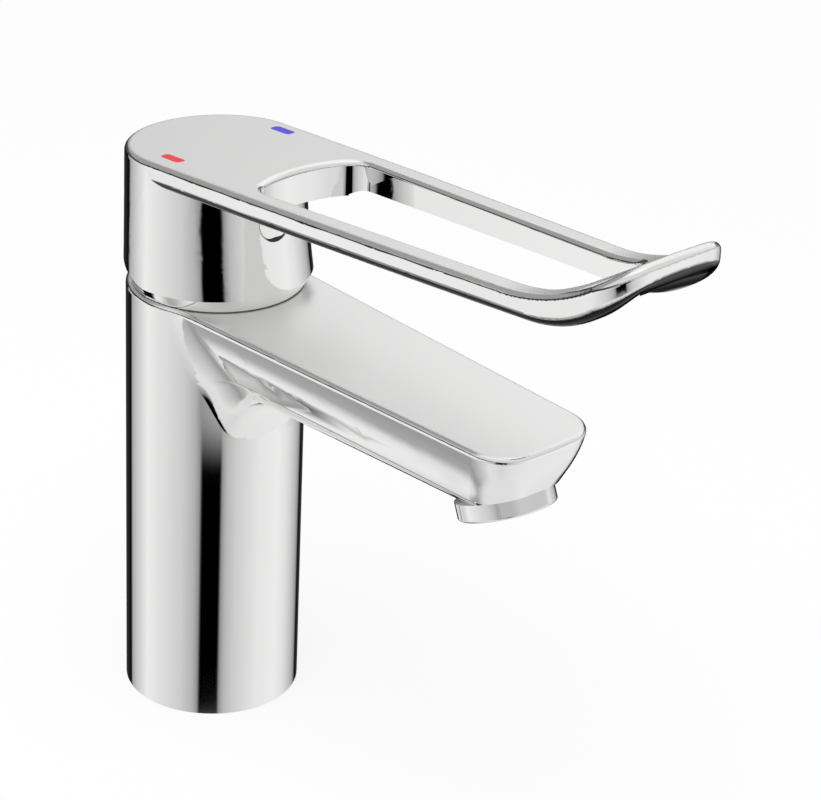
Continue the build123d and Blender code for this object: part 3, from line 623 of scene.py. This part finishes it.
def dress(material, *names):
    """Gives CAD nodes a material."""
    for name in names:
        mesh = nodes[name].data
        mesh.materials.clear()
        mesh.materials.append(material)


# Object and mesh helpers

def link_object(name, data):
    """A new object in the scene for a mesh, a camera or a lamp."""
    obj = bpy.data.objects.new(name, data)
    bpy.context.scene.collection.objects.link(obj)
    return obj


def swept_mesh(name, rings, closed):
    """A mesh from rings of points, each joined to the next; an open run gets its ends closed."""
    count = len(rings[0])
    faces = []
    for ring in range(len(rings) if closed else len(rings) - 1):
        near = ring * count
        far = (ring + 1) % len(rings) * count
        for side in range(count):
            other = (side + 1) % count
            faces.append((near + side, near + other, far + other, far + side))
    if not closed:
        last = (len(rings) - 1) * count
        faces.append(tuple(reversed(range(count))))
        faces.append(tuple(last + side for side in range(count)))
    mesh = bpy.data.meshes.new(name)
    mesh.from_pydata([point for ring in rings for point in ring], [], faces)
    mesh.validate()
    return mesh


def tidy_normals(mesh):
    """Points the faces of a closed mesh outwards."""
    shape = bmesh.new()
    shape.from_mesh(mesh)
    bmesh.ops.recalc_face_normals(shape, faces=shape.faces)
    shape.to_mesh(mesh)
    shape.free()


def thread_rings(centre_x, centre_y, radius, bottom, top, pitch, depth):
    """Rings of a thread's ridge that winds up the wall of an upright hole and runs out at both ends."""
    turns = (top - bottom) / pitch - THREAD_BASE_SHARE
    steps = int(turns * THREAD_STEPS)
    half_base = pitch * THREAD_BASE_SHARE / 2
    half_crest = pitch * THREAD_CREST_SHARE / 2
    outer = radius + WALL_OVERLAP
    rings = []
    for step in range(steps + 1):
        angle = 2 * math.pi * step / THREAD_STEPS
        middle = bottom + pitch * (THREAD_BASE_SHARE / 2 + step / THREAD_STEPS)
        inner = radius - depth * min(1.0, step / THREAD_STEPS, (steps - step) / THREAD_STEPS)
        profile = (
            (outer, middle - half_base),
            (inner, middle - half_crest),
            (inner, middle + half_crest),
            (outer, middle + half_base),
        )
        ring = []
        for reach, level in profile:
            ring.append((centre_x + reach * math.cos(angle), centre_y + reach * math.sin(angle), level))
        rings.append(ring)
    return rings


def surface_tree(name):
    """A search tree of a CAD node's faces."""
    mesh = nodes[name].data
    return BVHTree.FromPolygons([v.co for v in mesh.vertices], [p.vertices for p in mesh.polygons])


def foremost_y(trees, x, z):
    """The foremost Y at which a line from the front meets the surfaces."""
    hits = [tree.ray_cast(Vector((x, PROBE_Y, z)), Vector((0, 1, 0)))[0] for tree in trees]
    return min(hit.y for hit in hits if hit is not None)


# Operators

class TAP_OT_chrome(bpy.types.Operator):
    """Chrome on the body, the neck ring, the aerator's collar, the lever and its plug, with painted shade on
    the lever's lower edges.
    """

    bl_idname = "tap.chrome"
    bl_label = "Chrome Castings"

    def execute(self, context):
        finish = context.scene.tap_finish
        chrome = chrome_material(finish, "polished_chrome", 0.0)
        dress(chrome, "mixer_body", "neck_ring", "aerator_housing", "screw_plug")
        # The lever's chrome has painted shade on its lower edges
        dress(chrome_material(finish, "lever_chrome_painted_shade", 1.0), "lever")
        return {"FINISHED"}


class TAP_OT_marks(bpy.types.Operator):
    """Enamel in the hot and cold marks."""

    bl_idname = "tap.marks"
    bl_label = "Hot and Cold Marks"

    def execute(self, context):
        finish = context.scene.tap_finish
        dress(enamel_material("hot_enamel", finish.hot_color), "hot_marker")
        dress(enamel_material("cold_enamel", finish.cold_color), "cold_marker")
        return {"FINISHED"}


class TAP_OT_cartridge(bpy.types.Operator):
    """Plastic, ceramic, brass and steel of the cartridge, its nut, the screw and the aerator's inside."""

    bl_idname = "tap.cartridge"
    bl_label = "Cartridge"

    def execute(self, context):
        finish = context.scene.tap_finish
        plastic = moulded_material("moulded_plastic", finish.plastic_color, **PLASTIC)
        dress(plastic, "cartridge_base", "cartridge_housing", "disc_carrier", "rotating_carrier")
        dress(plastic, "aerator_insert")
        ceramic = moulded_material("ground_ceramic", finish.ceramic_color, **CERAMIC)
        dress(ceramic, "fixed_ceramic_disc", "moving_ceramic_disc")
        brass = turned_material("turned_brass", finish.brass_color, **BRASS)
        dress(brass, "stem", "retaining_nut")
        steel = turned_material("drawn_steel", finish.steel_color, **STEEL)
        dress(steel, "pivot_pin", "set_screw", "aerator_screen")
        return {"FINISHED"}


class TAP_OT_seals(bpy.types.Operator):
    """Rubber of the seals."""

    bl_idname = "tap.seals"
    bl_label = "Seals"

    def execute(self, context):
        rubber = moulded_material("seal_rubber", context.scene.tap_finish.rubber_color, **SEAL_RUBBER)
        dress(rubber, "base_seal", "inlet_seals", "outlet_seal", "aerator_seal")
        return {"FINISHED"}


class TAP_OT_threads(bpy.types.Operator):
    """Threads in the two hose sockets and in the stud hole."""

    bl_idname = "tap.threads"
    bl_label = "Threads"

    def execute(self, context):
        pieces = context.scene.tap_pieces
        brass = turned_material("cut_thread", context.scene.tap_finish.brass_color, **THREAD_BRASS)
        holes = (
            ("hot_socket_thread", -SOCKET_OFFSET, SOCKET_Y, SOCKET_RADIUS, SOCKET_DEPTH, pieces.hose_pitch),
            ("cold_socket_thread", SOCKET_OFFSET, SOCKET_Y, SOCKET_RADIUS, SOCKET_DEPTH, pieces.hose_pitch),
            ("stud_hole_thread", 0.0, STUD_Y, STUD_RADIUS, STUD_DEPTH, pieces.stud_pitch),
        )
        for name, x, y, radius, depth, pitch in holes:
            bottom = HOLE_MOUTH + THREAD_MARGIN
            top = HOLE_MOUTH + depth - THREAD_MARGIN
            rings = thread_rings(x, y, radius, bottom, top, pitch, pieces.thread_depth)
            mesh = swept_mesh(name, rings, False)
            tidy_normals(mesh)
            mesh.materials.append(brass)
            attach(link_object(name, mesh), "tap_body")
        return {"FINISHED"}


class TAP_OT_jet_mesh(bpy.types.Operator):
    """Woven wire mesh under the flow straightener."""

    bl_idname = "tap.jet_mesh"
    bl_label = "Jet Mesh"

    def execute(self, context):
        pieces = context.scene.tap_pieces
        tilt = math.radians(JET_ANGLE)
        sideways = Vector((1, 0, 0))
        across = Vector((0, -math.cos(tilt), math.sin(tilt)))
        outward = Vector((0, -math.sin(tilt), -math.cos(tilt)))
        middle = Vector(JET_CENTRE) + JET_MESH_DEPTH * outward
        shape = bmesh.new()
        for along, side, phase in ((sideways, across, 0.0), (across, sideways, math.pi)):
            for wire in range(pieces.wire_count):
                rings = self.wire_rings(pieces, middle, along, side, outward, wire, phase)
                mesh = swept_mesh("wire", rings, False)
                shape.from_mesh(mesh)
                bpy.data.meshes.remove(mesh)
        bmesh.ops.recalc_face_normals(shape, faces=shape.faces)
        mesh = bpy.data.meshes.new("jet_mesh")
        shape.to_mesh(mesh)
        shape.free()
        mesh.materials.append(turned_material("wire", context.scene.tap_finish.steel_color, **WIRE_STEEL))
        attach(link_object("jet_mesh", mesh), "tap_body")
        return {"FINISHED"}

    def wire_rings(self, pieces, middle, along, side, outward, wire, phase):
        """Rings of one wire, which goes over and under the wires that cross it."""
        half = pieces.wire_width / 2
        spacing = 2 * JET_RADIUS / (pieces.wire_count + 1)
        offset = (wire - (pieces.wire_count - 1) / 2) * spacing
        reach = math.sqrt(JET_RADIUS**2 - offset**2)
        steps = max(LEAST_WIRE_STEPS, int(2 * reach / spacing * WEAVE_STEPS))
        rings = []
        for step in range(steps + 1):
            run = -reach + 2 * reach * step / steps
            wave = math.cos(math.pi * (run / spacing + wire) + phase) * half
            point = middle + run * along + offset * side + wave * outward
            rings.append([point + half * way for way in (side, outward, -side, -outward)])
        return rings


class TAP_OT_plug_seal(bpy.types.Operator):
    """Dark rubber ring in the gap between the cap and its plug that stands in for the shade in that gap. It
    is wider at the bottom, a painted shadow crescent.
    """

    bl_idname = "tap.plug_seal"
    bl_label = "Plug Gap Shade"

    def execute(self, context):
        half = context.scene.tap_pieces.seal_width / 2
        trees = [surface_tree(name) for name in ("lever", "screw_plug")]
        rings = []
        for step in range(GAP_SHADE_STEPS):
            angle = 2 * math.pi * step / GAP_SHADE_STEPS
            # The ring reaches further in at the bottom: a painted shadow crescent
            inner = PLUG_GAP_RADIUS - half - SHADOW_CRESCENT_HEIGHT * max(0.0, -math.sin(angle)) ** SHADOW_CRESCENT_SHARPNESS
            outer = PLUG_GAP_RADIUS + half
            ring = []
            for reach, sink in (
                (inner, GAP_SHADE_SINK), (inner, -GAP_SHADE_PROUD), (outer, -GAP_SHADE_PROUD), (outer, GAP_SHADE_SINK),
            ):
                x = reach * math.cos(angle)
                z = PLUG_HEIGHT + reach * math.sin(angle)
                ring.append((x, foremost_y(trees, x, z) + sink, z))
            rings.append(ring)
        mesh = swept_mesh("plug_seal", rings, True)
        tidy_normals(mesh)
        # The ring is dark rubber that stands in for the shade in the gap round the plug
        color = context.scene.tap_finish.rubber_color
        mesh.materials.append(moulded_material("gap_shade_rubber", color, **GAP_SHADE_RUBBER))
        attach(link_object("plug_seal", mesh), "lever")
        return {"FINISHED"}


class TAP_OT_studio(bpy.types.Operator):
    """Camera, floor, lamp and the surroundings that the chrome mirrors."""

    bl_idname = "tap.studio"
    bl_label = "Studio"

    def execute(self, context):
        studio = context.scene.tap_studio
        self.add_camera(context.scene, studio)
        self.add_floor(studio)
        self.add_lamp(studio)
        self.add_world(context.scene, studio)
        context.scene.view_settings.view_transform = "Standard"
        return {"FINISHED"}

    def add_camera(self, scene, studio):
        """The photograph's camera, from its angles, distance and offsets."""
        azimuth, elevation = studio.view_azimuth, studio.view_elevation
        level = math.cos(elevation)
        towards = Vector((math.sin(azimuth) * level, -math.cos(azimuth) * level, math.sin(elevation)))
        right = (-towards).cross(Vector((0, 0, 1))).normalized()
        down = (-towards).cross(right).normalized()
        cos_roll, sin_roll = math.cos(studio.view_roll), math.sin(studio.view_roll)
        camera_right = cos_roll * right + sin_roll * down
        camera_down = cos_roll * down - sin_roll * right
        place = studio.view_distance * towards + studio.view_right * camera_right
        place += studio.view_down * camera_down
        camera = bpy.data.cameras.new("camera")
        camera.sensor_width = SENSOR_WIDTH
        camera.lens = studio.view_lens
        camera.clip_start = CLIP_START
        camera.clip_end = CLIP_END
        holder = link_object("camera", camera)
        axes = Matrix((camera_right, -camera_down, towards)).transposed()
        holder.matrix_world = Matrix.Translation(place) @ axes.to_4x4()
        scene.camera = holder

    def add_floor(self, studio):
        """A white floor that takes a soft shadow. Mirrors see the surroundings instead of it."""
        half = studio.floor_size / 2
        corners = [(-half, -half, 0), (half, -half, 0), (half, half, 0), (-half, half, 0)]
        mesh = bpy.data.meshes.new("floor")
        mesh.from_pydata(corners, [], [(0, 1, 2, 3)])
        mesh.materials.append(self.floor_material())
        floor = link_object("floor", mesh)
        floor.location.z = -FLOOR_DROP
        floor.visible_glossy = False

    def floor_material(self):
        """Matt paint that also glows white where the camera sees it, so that its shadow stays pale."""
        material = bpy.data.materials.new("floor")
        material.use_nodes = True
        tree = material.node_tree
        tree.nodes.clear()
        paint = add_node(tree, "ShaderNodeBsdfDiffuse", 0, 120, {"Color": with_alpha(FLOOR_COLOR)})
        glow = add_node(tree, "ShaderNodeEmission", 0, -60, {"Strength": FLOOR_GLOW})
        rays = add_node(tree, "ShaderNodeLightPath", -600, 0).outputs
        seen = math_node(tree, "MAXIMUM", rays["Is Camera Ray"], rays["Is Glossy Ray"], -400, 0)
        seen = math_node(tree, "MAXIMUM", seen, rays["Is Transmission Ray"], -250, 0)
        share = math_node(tree, "MULTIPLY", seen, FLOOR_GLOW_SHARE, -100, 0)
        surface = mix_shaders(tree, share, paint.outputs[0], glow.outputs[0], 250, 0)
        add_node(tree, "ShaderNodeOutputMaterial", 500, 0, {"Surface": surface})
        return material

    def add_lamp(self, studio):
        """One large soft lamp high above the camera and a little to its left."""
        light = bpy.data.lights.new("key", "AREA")
        light.shape = "DISK"
        light.size = LAMP_SIZE
        light.energy = studio.key_power
        lamp = link_object("key", light)
        lamp.location = LAMP_PLACE
        lamp.rotation_euler = (Vector(LAMP_TARGET) - lamp.location).to_track_quat("-Z", "Y").to_euler()
        lamp.visible_glossy = False

    def add_world(self, scene, studio):
        """White to the camera, an even pale grey as light, and rings of light and dark in mirrors."""
        world = bpy.data.worlds.new("studio")
        world.use_nodes = True
        tree = world.node_tree
        tree.nodes.clear()
        rings = self.studio_light(tree, studio.view_azimuth)
        mirrored = add_node(tree, "ShaderNodeBackground", 800, 200, {"Color": rings})
        even = {"Color": with_alpha(WHITE), "Strength": studio.sky_strength}
        plain = add_node(tree, "ShaderNodeBackground", 800, 0, even)
        white = add_node(tree, "ShaderNodeBackground", 800, -200, {"Color": with_alpha(WHITE)})
        rays = add_node(tree, "ShaderNodeLightPath", 600, 400).outputs
        light = mix_shaders(tree, rays["Is Glossy Ray"], plain.outputs[0], mirrored.outputs[0], 1100, 100)
        seen = math_node(tree, "MAXIMUM", rays["Is Camera Ray"], rays["Is Transmission Ray"], 850, 500)
        surface = mix_shaders(tree, seen, light, white.outputs[0], 1350, 0)
        add_node(tree, "ShaderNodeOutputWorld", 1600, 0, {"Surface": surface})
        scene.world = world

    def studio_light(self, tree, azimuth):
        """Brightness of the studio by direction: rings of light, one above the other."""
        place = add_node(tree, "ShaderNodeTexCoord", -1400, 0).outputs["Generated"]
        inputs = {"Vector": place, "Angle": math.pi / 2 - azimuth}
        turn = add_node(tree, "ShaderNodeVectorRotate", -1200, 0, inputs, rotation_type="Z_AXIS")
        split = add_node(tree, "ShaderNodeSeparateXYZ", -1000, 0, {"Vector": turn.outputs["Vector"]}).outputs
        bearing = math_node(tree, "ARCTAN2", split["Y"], split["X"], -800, 200)
        bearing = math_node(tree, "DIVIDE", bearing, 2 * math.pi, -650, 200)
        bearing = math_node(tree, "ADD", bearing, 0.5, -500, 200)
        light = self.add_ring(tree, bearing, FLOOR_STOPS, 400)
        for index, (start, end, stops) in enumerate(LIGHT_RINGS, 1):
            above = self.add_ring(tree, bearing, stops, 400 - 300 * index)
            share = map_range(tree, split["Z"], start, end, x=-300, y=280 - 300 * index)
            light = mix_values(tree, "FLOAT", share, light, above, 100 * index, 200)
        return light

    def add_ring(self, tree, bearing, stops, y):
        """A colour ramp that covers a full turn round the tap; returns its output."""
        ring = add_node(tree, "ShaderNodeValToRGB", -300, y, {"Fac": bearing})
        ramp = ring.color_ramp
        ramp.interpolation = "LINEAR"
        while len(ramp.elements) > 1:
            ramp.elements.remove(ramp.elements[-1])
        for index, (degrees, value) in enumerate(stops):
            position = degrees / 360 + 0.5
            element = ramp.elements[0] if index == 0 else ramp.elements.new(position)
            element.position = position
            element.color = (value, value, value, 1.0)
        return ring.outputs["Color"]


class TAP_PT_panel(bpy.types.Panel):
    """Lists the tap's settings and steps."""

    bl_label = "Elbow Lever Tap"
    bl_idname = "TAP_PT_panel"
    bl_space_type = "VIEW_3D"
    bl_region_type = "UI"
    bl_category = "Tap"

    def draw(self, context):
        for group in (context.scene.tap_finish, context.scene.tap_pieces, context.scene.tap_studio):
            for name in group.__annotations__:
                self.layout.prop(group, name)
        for step in STEPS:
            self.layout.operator(step.bl_idname)


STEPS = (
    TAP_OT_chrome, TAP_OT_marks, TAP_OT_cartridge, TAP_OT_seals, TAP_OT_threads, TAP_OT_jet_mesh,
    TAP_OT_plug_seal, TAP_OT_studio,
)
CLASSES = (TapFinishSettings, TapPieceSettings, TapStudioSettings, *STEPS, TAP_PT_panel)


def register():
    """Registers the classes and gives the scene its settings."""
    for cls in CLASSES:
        bpy.utils.register_class(cls)
    bpy.types.Scene.tap_finish = PointerProperty(type=TapFinishSettings)
    bpy.types.Scene.tap_pieces = PointerProperty(type=TapPieceSettings)
    bpy.types.Scene.tap_studio = PointerProperty(type=TapStudioSettings)


def unregister():
    """Takes the settings and the classes away."""
    del bpy.types.Scene.tap_studio
    del bpy.types.Scene.tap_pieces
    del bpy.types.Scene.tap_finish
    for cls in reversed(CLASSES):
        bpy.utils.unregister_class(cls)


def main():
    """Runs every step in order."""
    register()
    bpy.ops.tap.chrome()
    bpy.ops.tap.marks()
    bpy.ops.tap.cartridge()
    bpy.ops.tap.seals()
    bpy.ops.tap.threads()
    bpy.ops.tap.jet_mesh()
    bpy.ops.tap.plug_seal()
    bpy.ops.tap.studio()


if __name__ == "__main__":
    main()
